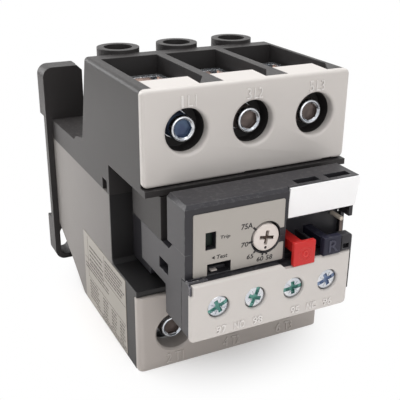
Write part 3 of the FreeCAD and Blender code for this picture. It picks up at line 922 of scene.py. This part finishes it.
# %% Plate, tongues and notches
LINE_X = (-21.0, 1.0, 23.0)
LINE_Z, TOP, LIP = 83.6, 96.8, 67.9
plate = block("plate", -35.0, 35.0, 0.0, 2.2, LIP, TOP)
bevel_edges(plate, along_depth, 1.6, 6)
bevel_edges(plate, at_depth(0.0), 1.0, 5)
pieces = [plate]
for pole, x in enumerate(LINE_X):
    left = -31.0 if pole == 0 else x - 9.3
    pieces.append(plan_solid("tongue", [
        (left, 2.1), (x + 4.8, 2.1), (x + 5.4, 11.5), (left, 11.5)], TOP - 2.5, TOP - 0.02))
    pieces.append(round_bar("well", x, LINE_Z, 7.95, 2.1, 3.1))
line_shell = unite(pieces, "line_shell")
print("line cover", len(line_shell.data.polygons), "faces")

# %% Screw holes of the line cover
HOLE_R, THROAT_R = 6.75, 4.35
cutters = [
    block("notch", -1.6, 3.9, -1.0, 3.0, LIP - 1.0, LIP + 0.55),
    block("notch", 26.8, 31.2, -1.0, 3.0, LIP - 1.0, LIP + 0.55),
]
for x in LINE_X:
    rim = turned("rim", [
        (0.0, -1.0), (8.3, -1.0), (7.85, 0.0), (7.42, 0.10), (7.06, 0.32), (6.85, 0.66),
        (HOLE_R, 1.15), (HOLE_R, 4.2), (0.0, 4.2)], steps=72)
    cutters.append(put(rim, x, 0.0, LINE_Z))
cut_with(line_shell, cutters)
finish_piece(line_shell, "relay", "light_grey_polyamide")
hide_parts("line_cover")

# %% Black walls behind the holes
key_walls = []
for x in LINE_X:
    wall = block("key_wall", x - 9.2, x + 9.2, 3.2, 8.8, 75.8, 94.1)
    cut_with(wall, [round_bar("hole", x, LINE_Z, HOLE_R, 2.0, 8.3, 64),
                    round_bar("throat", x, LINE_Z, THROAT_R, 2.0, 10.0, 64)])
    key_walls.append(wall)
key_walls = join(key_walls, "key_walls")
finish_piece(key_walls, "relay", "black_polyamide")

# %% [markdown]
# ## Cover of the auxiliary terminals
# The light cover has soft front edges and a notch for the red button, sloped
# at its left end. Its upper left corner is stepped back, and a dark flange of
# the carrier behind it shows there, with a small lug on top.

# %% The cover
AUX_Z = 36.6
AUX_X = (-20.6, -8.4, 4.9, 17.2)
AUX_FACE, AUX_SEAM = -20.8, -19.5
aux_shell = front_solid("aux_shell", [
    (-29.9, 26.6), (25.0, 26.6), (25.0, 45.4), (-29.2, 45.4), (-29.2, 42.3), (-29.9, 42.3),
], AUX_FACE, AUX_SEAM)
bevel_edges(aux_shell, lambda a, b: near(a[2], 26.6) and near(b[2], 26.6)
            and near(a[0], b[0]), 1.6, 6)
bevel_edges(aux_shell, at_depth(AUX_FACE), 0.95, 5)
STOP_NOTCH = [(1.6, 44.1), (11.6, 44.1), (11.6, 47.0), (0.0, 47.0), (0.0, 45.6)]
holes = [front_solid("notch", STOP_NOTCH, AUX_FACE - 1.0, -14.0)]
for x in AUX_X:
    rim = turned("rim", [
        (0.0, -1.0), (4.6, -1.0), (4.15, 0.0), (3.85, 0.10), (3.66, 0.28), (3.57, 0.55),
        (3.55, 0.9), (3.55, 2.4), (0.0, 2.4)], steps=64)
    holes.append(put(rim, x, AUX_FACE, AUX_Z))
cut_with(aux_shell, holes)
finish_piece(aux_shell, "relay", "light_grey_polyamide")
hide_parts("aux_cover")
print("aux cover", len(aux_shell.data.polygons), "faces")

# %% The flange and the lug of the carrier
flange = block("flange", -29.9, -29.3, -20.5, -19.5, 42.4, 45.2)
lug = block("lug", -29.9, -23.8, -19.4, -17.5, 45.15, 46.2)
bevel_edges(lug, at_height(46.2), 0.35, 3)
cut_with(lug, [block("lug_slot", -28.4, -25.2, -18.9, -18.0, 45.4, 47.0)])
carrier_lug = join([flange, lug], "carrier_lug")
finish_piece(carrier_lug, "relay", "scuffed_and_sheen_polyamide")

# %% [markdown]
# ## Clamp screws of the line and load terminals
# Each box terminal is closed by an M8 screw without a head. What shows in its
# hole is the rounded rim of its end, polished by the key, and a socket for a
# 5 mm hexagon key with a drilled tip at its bottom. The screw is turned, its
# socket is cut, and the thread is added behind the end. All six are copies of
# one, and each replaces the plain CAD screw and moves with its body. Their
# ends stand a little further forward in the holes than those of the CAD
# screws, which sit deeper than on the real object.

# %% One clamp screw
SCREW_LENGTH = 19.3
KEY = 5.0
clamp_screw = turned("clamp_screw", [
    (0.0, 0.0), (3.35, 0.0), (3.58, 0.05), (3.76, 0.16), (3.88, 0.34), (3.94, 0.60),
    (3.94, 1.70), (3.45, 2.05), (3.45, SCREW_LENGTH - 0.5), (3.1, SCREW_LENGTH),
    (2.0, SCREW_LENGTH), (2.0, SCREW_LENGTH + 1.6), (0.0, SCREW_LENGTH + 1.6),
])
start_fresh()
bpy.ops.mesh.primitive_cylinder_add(
    vertices=6, radius=KEY / math.sqrt(3) * MM, depth=9 * MM,
    location=(0, 0, 0), rotation=(math.pi / 2, 0, 0))
socket = bpy.context.object
apply_place(socket)
select_rear(socket)
bpy.ops.mesh.extrude_region_move(TRANSFORM_OT_translate={"value": (0, 1.1 * MM, 0)})
bpy.ops.transform.resize(value=(0.05, 1, 0.05), center_override=(0, 5.6 * MM, 0))
bpy.ops.object.mode_set(mode="OBJECT")
mouth = turned("mouth", [(0.0, -0.5), (3.3, -0.5), (3.3, -0.02), (2.75, 0.50), (0.0, 0.50)])
cut_with(clamp_screw, [socket, mouth])
shade_recess(clamp_screw, 2.9, 0.3, 9)
clamp_thread = thread("clamp_thread", 4.0, 3.4, 1.25, 1.6, SCREW_LENGTH - 0.4)
clamp_screw.data.materials.append(finishes["zinc_steel"])
clamp_screw.data.materials.append(finishes["film_brown"])
clamp_screw = join([clamp_screw, clamp_thread], "clamp_screw")
print("clamp screw", len(clamp_screw.data.polygons), "faces")


# %% Its six copies
def screw_copy(screw, label, degrees, inner, ahead=0.0):
    """A copy of a screw at the place of a CAD screw, turned, with the film in its recess."""
    low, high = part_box(label)
    middle = (low + high) / 2 / MM
    place_at = (middle.x, low.y / MM - ahead, middle.z)
    copy = copy_of(screw, label + "_turned", place_at, math.radians(degrees))
    finish_piece(copy, label, "zinc_steel", extra=(inner,))
    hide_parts(label)


for side, ahead in (("line", 1.5), ("load", 2.6)):
    for pole in (1, 2, 3):
        label = f"{side}_screw_{pole}"
        inner = "film_night" if label == "line_screw_1" else "film_brown"
        screw_copy(clamp_screw, label, 20 * pole - 50, inner, ahead)
bpy.data.objects.remove(clamp_screw)

# %% [markdown]
# ## Auxiliary screws
# The four small screws take three drivers: a wide slot runs across the whole
# head, a shorter cross stands square to it, and four fine ticks between the
# arms show that the cross has the second, sharper form. Each screw was left at
# the angle at which it happened to bite.

# %% One auxiliary screw
aux_screw = turned("aux_screw", [
    (0.0, -0.45), (1.8, -0.42), (2.9, -0.34), (3.2, -0.26), (3.34, -0.10), (3.40, 0.20),
    (3.40, 2.38), (1.40, 2.38), (1.40, 10.7), (1.1, 10.98), (0.0, 10.98),
])


def cutter_box(width, depth, height, turn=0.0):
    """A block for a recess, centred on the axis, that reaches depth into the head."""
    start_fresh()
    bpy.ops.mesh.primitive_cube_add(size=1.0, location=(0, (depth - 2.0) / 2 * MM, 0))
    cutter = bpy.context.object
    cutter.scale = (width * MM, (depth + 2.0) * MM, height * MM)
    cutter.rotation_euler = (0, turn, 0)
    apply_place(cutter)
    return cutter


recess = [cutter_box(7.4, 0.22, 1.30)]
for turn_by in (0.0, math.pi / 2):
    arm = cutter_box(4.3, 0.62, 1.25, turn_by)
    select_rear(arm)
    bpy.ops.transform.resize(value=(0.86, 1, 0.86), center_override=(0, 0.62 * MM, 0))
    bpy.ops.object.mode_set(mode="OBJECT")
    recess.append(arm)
for quarter in range(2):
    recess.append(cutter_box(5.0, -0.22, 0.20, math.radians(45 + 90 * quarter)))
cut_with(aux_screw, recess)
shade_recess(aux_screw, 3.30, -0.15, 2.3)
aux_thread = thread("aux_thread", 1.72, 1.36, 0.6, 3.0, 10.7, steps=20)
aux_screw.data.materials.append(finishes["zinc_steel"])
aux_screw.data.materials.append(finishes["film_teal"])
aux_screw = join([aux_screw, aux_thread], "aux_screw")
print("aux screw", len(aux_screw.data.polygons), "faces")

# %% Its four copies
for number, degrees, inner in (
        (1, -24, "film_teal"), (2, -67, "film_teal"), (3, -5, "film_teal"), (4, -21, "film_slate")):
    screw_copy(aux_screw, f"aux_screw_{number}", degrees, inner)
bpy.data.objects.remove(aux_screw)

# %% [markdown]
# ## Raised marks
# The tool that moulds a cover also moulds its marks: each terminal carries the
# number by which a drawing calls it, raised a little in the same plastic. A
# text object gives the letters their outline and thickness. It is turned into
# a mesh first, and then fitted to the room that the mark has on the cover, so
# that its size doesn't depend on the font.


# %% Letters on a face
def letters(words, low, high, face, thickness, slant=0.0, thin=0.0):
    """Words as a solid, fitted between two corners (x, z) of a face that looks to the front."""
    start_fresh()
    bpy.ops.object.text_add(location=(0, 0, 0))
    text = bpy.context.object
    text.data.body = words
    text.data.extrude = 0.5
    text.data.bevel_depth = 0.0
    text.data.resolution_u = 3
    text.data.shear = slant
    text.data.offset = -thin
    bpy.ops.object.convert(target="MESH")
    piece = bpy.context.object
    corners = [Vector(v.co) for v in piece.data.vertices]
    left = min(c.x for c in corners)
    bottom = min(c.y for c in corners)
    width = max(c.x for c in corners) - left
    height = max(c.y for c in corners) - bottom
    grow_x = (high[0] - low[0]) * MM / width
    grow_z = (high[1] - low[1]) * MM / height
    piece.matrix_world = Matrix((
        (grow_x, 0, 0, low[0] * MM - left * grow_x),
        (0, 0, -thickness * MM, face - thickness * MM / 2 + 0.005 * MM),
        (0, grow_z, 0, low[1] * MM - bottom * grow_z),
        (0, 0, 0, 1),
    ))
    apply_place(piece)
    return piece


# %% Marks of the terminals
RAISED = 0.34


def raised_marks(name, marks, z0, z1, face, finish, thin=0.0):
    """The marks of one cover between two heights, from rows of (words, x, width)."""
    solids = []
    for words, x, width in marks:
        solids.append(letters(words, (x, z0), (x + width, z1), face, RAISED, thin=thin))
    whole = join(solids, name)
    finish_piece(whole, "relay", finish)
    print(name, len(whole.data.vertices), "vertices")


raised_marks("line_marks", (
    ("1", -23.1, 0.75), ("L1", -21.0, 2.7), ("3", -1.9, 1.5), ("L2", 0.6, 2.9),
    ("5", 20.0, 1.5), ("L3", 22.6, 2.9),
), 91.0, 94.3, FRONT, "highlit_grey")
raised_marks("load_marks", (
    ("2", -25.4, 1.9), ("T1", -22.4, 3.2), ("4", -4.1, 1.9), ("T2", -0.8, 3.2),
    ("6", 17.2, 1.9), ("T3", 20.8, 3.2),
), 1.4, 4.9, LOAD_FRONT, "highlit_load_grey", thin=-0.01)
raised_marks("aux_marks", (
    ("97", -21.6, 3.4), ("NO", -15.7, 3.6), ("98", -9.4, 3.4),
    ("95", 3.9, 3.2), ("NC", 9.7, 3.5), ("96", 15.9, 3.2),
), 28.0, 30.5, AUX_FRONT, "highlit_grey", thin=-0.02)

# %% [markdown]
# ## Print on the setting plate
# The plate is printed in dark ink: the currents that the dial can be set to,
# a tick for each, and a word beside the window and the test slot. The places
# of a type name stay bare. Ink has a thickness too, a few hundredths of a
# millimetre, so the letters are thin solids on the plate.

# %% Numbers and words
INK = 0.05
plate_words = (
    ("75A", -12.2, 58.1, 3.7, 1.75), ("70", -12.1, 52.5, 2.4, 1.5),
    ("65", -10.1, 48.25, 2.3, 1.5), ("60", -6.7, 46.75, 2.3, 1.5),
    ("58", -3.6, 46.7, 2.3, 1.5), ("Trip", -18.9, 56.4, 3.2, 1.3),
    ("Test", -20.0, 50.55, 3.5, 1.3),
)
print_on_plate = []
for words, x, z, width, height in plate_words:
    print_on_plate.append(
        letters(words, (x, z), (x + width, z + height), PLATE_FRONT, INK, 0.14, thin=-0.014))


def unit_bar():
    """A bar of size one in every direction, which is stretched into a stroke."""
    start_fresh()
    bpy.ops.mesh.primitive_plane_add(size=1.0, location=(0, 0, 0))
    bar = bpy.context.object
    bpy.ops.object.mode_set(mode="EDIT")
    raise_face(1)
    return bar


def flat_strip(a, b, width, face, thickness):
    """A printed stroke from a to b, (x, z) in millimetres, on a face that looks to the front."""
    strip = unit_bar()
    first, last = Vector((a[0], 0, a[1])), Vector((b[0], 0, b[1]))
    along = (last - first).normalized()
    across = Vector((-along.z, 0, along.x))
    out = along.cross(across)
    middle = (first + last) / 2 * MM
    middle.y = face + 0.005 * MM
    strip.matrix_world = Matrix((
        (*along * ((last - first).length * MM), 0), (*across * (width * MM), 0),
        (*out * (thickness * MM), 0), (*middle, 1),
    )).transposed()
    apply_place(strip)
    return strip


# %% Ticks round the dial and the arrow of the test slot
ticks = (
    ((-7.2, 57.2), (-8.2, 58.1)), ((-8.3, 53.6), (-9.6, 53.5)), ((-7.0, 50.8), (-7.8, 49.9)),
    ((-4.65, 49.7), (-4.85, 48.5)), ((-3.65, 49.7), (-3.4, 48.5)),
)
for a, b in ticks:
    print_on_plate.append(flat_strip(a, b, 0.60, PLATE_FRONT, INK))
start_fresh()
bpy.ops.mesh.primitive_circle_add(vertices=3, radius=0.62 * MM, fill_type="NGON")
arrow = bpy.context.object
bpy.ops.object.mode_set(mode="EDIT")
raise_face(INK * MM)
arrow.matrix_world = (
    Matrix.Translation((-20.95 * MM, PLATE_FRONT + 0.005 * MM, 51.2 * MM))
    @ Matrix.Rotation(math.pi / 2, 4, "X") @ Matrix.Rotation(math.pi / 2, 4, "Z"))
apply_place(arrow)
print_on_plate.append(arrow)
plate_print = join(print_on_plate, "plate_print")
finish_piece(plate_print, "relay", "plate_ink")
print("plate print", [round(v / MM, 2) for v in plate_print.bound_box[0]])

# %% [markdown]
# ## Setting dial
# The dial is a light disc with a rounded rim and a crossed slot for a driver.
# The slot's bottom is dark with dust and shade. A drop of dark paint in a
# dimple shows the current that is set. The dial stands a few degrees off
# upright, as it was last set.

# %% Disc with a crossed slot
dial_knob = turned("dial_knob", [
    (0.0, 0.0), (3.80, 0.0), (4.08, 0.07), (4.25, 0.22), (4.35, 0.50), (4.35, 3.5),
    (2.0, 3.5), (2.0, 7.5), (0.0, 7.5)], steps=72)
DIAL_TURN = math.radians(9)
dimple = turned("dimple", [(0.0, -0.5), (0.46, -0.5), (0.46, 0.40), (0.0, 0.40)], steps=24)
dimple.matrix_world = Matrix.Translation((-0.25 * MM, 0, -3.15 * MM))
apply_place(dimple)
cut_with(dial_knob, [
    cutter_box(4.7, 1.0, 1.15, DIAL_TURN), cutter_box(4.5, 1.0, 1.15, DIAL_TURN + math.pi / 2),
    dimple])
shade_recess(dial_knob, 2.9, 0.2, 2.0)
dial_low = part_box("current_dial")[0]
dial_knob.data.transform(Matrix.Translation((DIAL_X * MM, dial_low.y, DIAL_Z * MM)))
finish_piece(dial_knob, "current_dial", "dial_plastic", extra=("dial_shade",))
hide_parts("current_dial")

# %% Index dot
dot = turned("dot", [
    (0.0, 0.02), (0.24, 0.04), (0.38, 0.10), (0.45, 0.18), (0.45, 0.38), (0.0, 0.38)], steps=24)
dial_dot = copy_of(dot, "dial_dot", (DIAL_X - 0.25, dial_low.y / MM, DIAL_Z - 3.15))
bpy.data.objects.remove(dot)
finish_piece(dial_dot, "current_dial", "plate_ink")

# %% [markdown]
# ## Buttons
# The red button has a thin square head on a stem. The head carries a raised
# ring with a small O, the sign for off. The dark one is thicker and carries an
# R for reset. Both signs are moulded with their button and move with it.

# %% Red button
BUTTON_FACE = -21.3
stop_head = block("stop_head", 3.75, 11.3, BUTTON_FACE, -19.9, 44.4, 52.1)
bevel_edges(stop_head, along_depth, 0.4, 4)
bevel_edges(stop_head, at_depth(BUTTON_FACE), 0.22, 3)
x0, x1, z0, z1 = STOP_STEM
stop_stem = block("stop_stem", x0, x1, -20.0, -5.2, z0, z1)
RING_X, RING_Z = 7.85, 48.1
stop_ring = turned("stop_ring", [
    (1.85, 0.05), (1.92, -0.14), (2.10, -0.19), (2.28, -0.14), (2.35, 0.05), (1.85, 0.05)])
put(stop_ring, RING_X, BUTTON_FACE, RING_Z)
SIGN_FACE = FRONT + BUTTON_FACE * MM
stop_key = join([unite([stop_head, stop_stem], "stop_key"), stop_ring], "stop_key")
finish_piece(stop_key, "stop_button", "red_plastic")
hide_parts("stop_button")
sign_off = join([letters(
    "O", (RING_X - 0.8, RING_Z - 1.05), (RING_X + 0.8, RING_Z + 1.05), SIGN_FACE, 0.16,
)], "stop_sign")
finish_piece(sign_off, "stop_button", "highlit_red")
print("red button", len(stop_key.data.polygons), "faces")

# %% Reset button
reset_head = block("reset_head", 14.5, 20.8, BUTTON_FACE, -19.0, 45.6, 51.5)
bevel_edges(reset_head, at_depth(BUTTON_FACE), 0.4, 4)
x0, x1, z0, z1 = RESET_STEM
reset_key = unite([
    reset_head, block("reset_stem", x0, x1, -19.1, -5.2, z0, z1)], "reset_key")
finish_piece(reset_key, "reset_button", "navy_plastic")
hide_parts("reset_button")
sign_reset = join([letters("R", (16.2, 46.7), (19.4, 50.5), SIGN_FACE, 0.22)], "reset_sign")
finish_piece(sign_reset, "reset_button", "highlit_navy")

# %% [markdown]
# ## Plunger and contact leaf
# At the right end of the recess the white end of a plunger stands above a
# narrow leaf of browned brass. The plunger's end is dished, so that it shows
# as a ring.

# %% Plunger
plunger = turned("plunger", [
    (0.0, 0.18), (0.30, 0.14), (0.42, 0.02), (0.55, 0.0), (0.68, 0.06), (0.75, 0.2),
    (0.75, 5.4), (0.0, 5.4)], steps=32)
put(plunger, 26.3, -13.4, 52.75)
finish_piece(plunger, "relay", "ivory_plastic")
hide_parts("contact_pin")
leaf = block("leaf", 25.8, 26.9, -13.2, -12.8, 45.6, 51.95)
bevel_edges(leaf, at_height(51.95), 0.15, 2)
finish_piece(leaf, "relay", "film_brown")
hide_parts("contact_leaf")

# %% [markdown]
# ## Test slide
# The slide is dark. Only the edge of its
# tab is white, and shows that it can be moved.

# %% Slide and tab
slide = block("slide", -21.2, -15.9, -14.6, -12.0, 45.9, 46.9)
bevel_edges(slide, at_height(46.9), 0.2, 2)
finish_piece(slide, "test_slide", "dark_tip")
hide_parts("test_slide")
tab = block("tab", -21.0, -19.0, -15.9, -14.6, 46.0, 46.4)
bevel_edges(tab, at_depth(-15.9), 0.12, 2)
finish_piece(tab, "test_slide", "dial_plastic")

# %% [markdown]
# ## Print on the rating label
# The label on the left wall is covered with fine print: two blocks of lines,
# a rule, and a table in three columns. Nothing on it is meant to be read, so
# each word is a short bar. One bar is modelled, and each copy gets the length
# of its word. A seed keeps the lengths the same in every run.

# %% One bar, and its copies
bar = unit_bar()
words = random.Random(11)
bars = []


def label_bar(depth, length, z, height):
    """A bar that starts at a depth behind the front plane and runs to the rear."""
    twin = bar.copy()
    twin.data = bar.data.copy()
    bpy.context.collection.objects.link(twin)
    middle = FRONT + (depth + length / 2) * MM
    twin.data.transform(Matrix((
        (0, 0, -0.035 * MM, LABEL_SIDE + 0.004 * MM),
        (-length * MM, 0, 0, middle),
        (0, height * MM, 0, z * MM),
        (0, 0, 0, 1),
    )))
    bars.append(twin)


def text_row(front, rear, z, height, longest):
    """A row of words of uneven length, with gaps, between two depths."""
    depth = rear
    while depth > front:
        length = min(words.uniform(0.35, 1.0) * longest, depth - front)
        if length > 0.3:
            label_bar(depth - length, length, z, height)
        depth -= length + 0.45


for row in range(6):
    text_row(19.2 + words.uniform(0, 4), 38.5, 26.9 - 1.25 * row, 0.55, 3.4)
for row in range(5):
    text_row(40.0 + words.uniform(0, 3), 56.0, 25.0 - 1.8 * row, 0.6, 4.5)
for row in range(2):
    text_row(35.5, 61.0, 16.4 - 1.3 * row, 0.5, 6.0)
for row in range(6):
    for front, rear, longest in (
            (19.5, 24.5, 2.2), (27.5, 33.0, 2.6), (36.0, 42.0, 2.2), (46.0, 57.0, 3.0)):
        text_row(front + words.uniform(0, 2), rear, 10.2 - 1.35 * row, 0.55, longest)
for row in range(2):
    text_row(18.8, 50.0 - 6 * row, 2.4 - 1.0 * row, 0.4, 3.0)
label_bar(18.3, 43.0, 18.9, 0.16)
label_bar(18.3, 40.0, 11.6, 0.16)
for depth, low, high in ((39.3, 20.0, 28.4), (57.8, 12.0, 28.4)):
    label_bar(depth, 0.18, (low + high) / 2, high - low)
label_print = join(bars, "label_print")
bpy.data.objects.remove(bar)
finish_piece(label_print, "relay", "label_ink")
print("label bars", len(bars))
